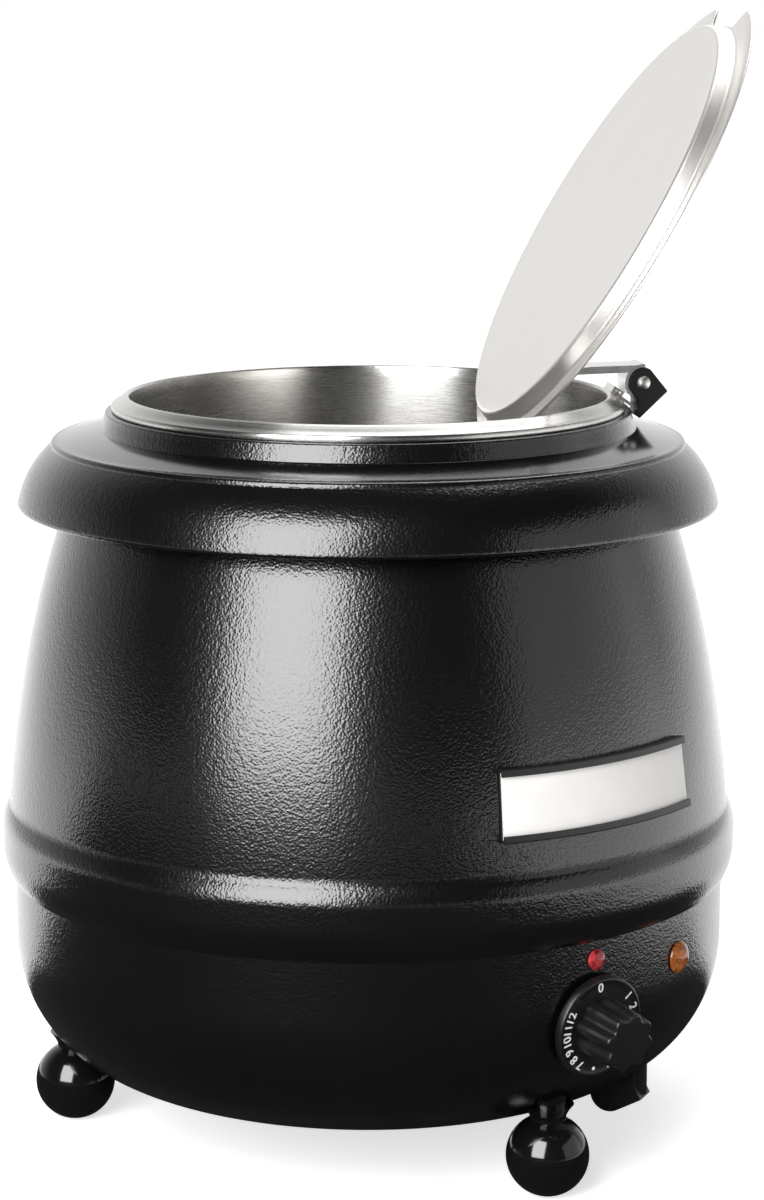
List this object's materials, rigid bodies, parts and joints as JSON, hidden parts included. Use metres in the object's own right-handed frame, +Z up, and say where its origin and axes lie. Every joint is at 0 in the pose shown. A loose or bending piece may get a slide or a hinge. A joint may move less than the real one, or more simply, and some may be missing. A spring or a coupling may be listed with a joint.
{
  "type": "soup kettle",
  "caption": "Round electric wet-heat soup kettle with a lift-out inset pot, a lid on a folding rim hinge, a heat dial and ball feet.",
  "frame": {"origin": "on the floor plane under the feet, on the axis of the kettle", "axes": "+Z up along the axis of the kettle; the control knob and the sign holder face -Y"},
  "size_m": [0.3432, 0.3621, 0.5148],
  "materials": {
    "black_hammered": "hammered gloss powder coat",
    "black_moulded": "moulded gloss",
    "black_hinge": "moulded satin",
    "stainless": "brushed",
    "lid_stainless": "satin polished",
    "well_aluminium": "spun",
    "zinc_steel": "zinc plated",
    "element_steel": "heat darkened sheath",
    "cream_moulding": "moulded",
    "red_lens": "clear tinted",
    "amber_lens": "clear tinted",
    "sign_white": "gloss",
    "knob_black": "moulded satin gloss"
  },
  "bodies": {
    "kettle": {"body_shell": "black_hammered", "base_bowl": "black_hammered", "top_collar": "black_hammered", "water_well": "well_aluminium", "heating_element": "element_steel", "element_clamp": "zinc_steel", "overheat_cutout": "cream_moulding", "tie_studs": "zinc_steel", "clamp_nuts": "zinc_steel", "base_plate": "black_hammered", "base_nuts": "zinc_steel", "terminal_block": "cream_moulding", "foot_studs": "zinc_steel", "foot_nuts": "zinc_steel", "thermostat_body": "cream_moulding", "thermostat_nut": "zinc_steel", "red_lamp_lens": "red_lens", "red_lamp_body": "cream_moulding", "amber_lamp_lens": "amber_lens", "amber_lamp_body": "cream_moulding", "sign_holder": "black_moulded", "sign_plate": "sign_white", "cord_gland": "black_hinge", "front_foot": "black_moulded", "right_foot": "black_moulded", "left_foot": "black_moulded"},
    "inset": {"inset_pot": "stainless", "rim_clip": "stainless", "clip_rivets": "zinc_steel", "hinge_block": "black_hinge", "hinge_bolt": "zinc_steel"},
    "arm": {"hinge_strap": "stainless", "pivot_pin": "stainless"},
    "lid": {"lid": "lid_stainless", "lid_leaf": "stainless"},
    "knob": {"control_knob": "knob_black", "thermostat_shaft": "zinc_steel"}
  },
  "joints": [
    {"name": "inset_lift", "type": "slide", "parent": "kettle", "child": "inset", "axis": [0, 0, 1], "range_m": [0, 0.26]},
    {"name": "arm_hinge", "type": "hinge", "parent": "inset", "child": "arm", "pos_m": [0.11213, -0.05962, 0.3453], "axis": [0.4695, 0.8829, 0], "range_deg": [0, 75]},
    {"name": "lid_hinge", "type": "hinge", "parent": "arm", "child": "lid", "pos_m": [0.06534, -0.03474, 0.3467], "axis": [0.4695, 0.8829, 0], "range_deg": [-120.4, 0]},
    {"name": "knob_turn", "type": "hinge", "parent": "kettle", "child": "knob", "pos_m": [0, -0.16398, 0.084], "axis": [0, -0.9945, -0.1045], "range_deg": [-270, 0]}
  ]
}
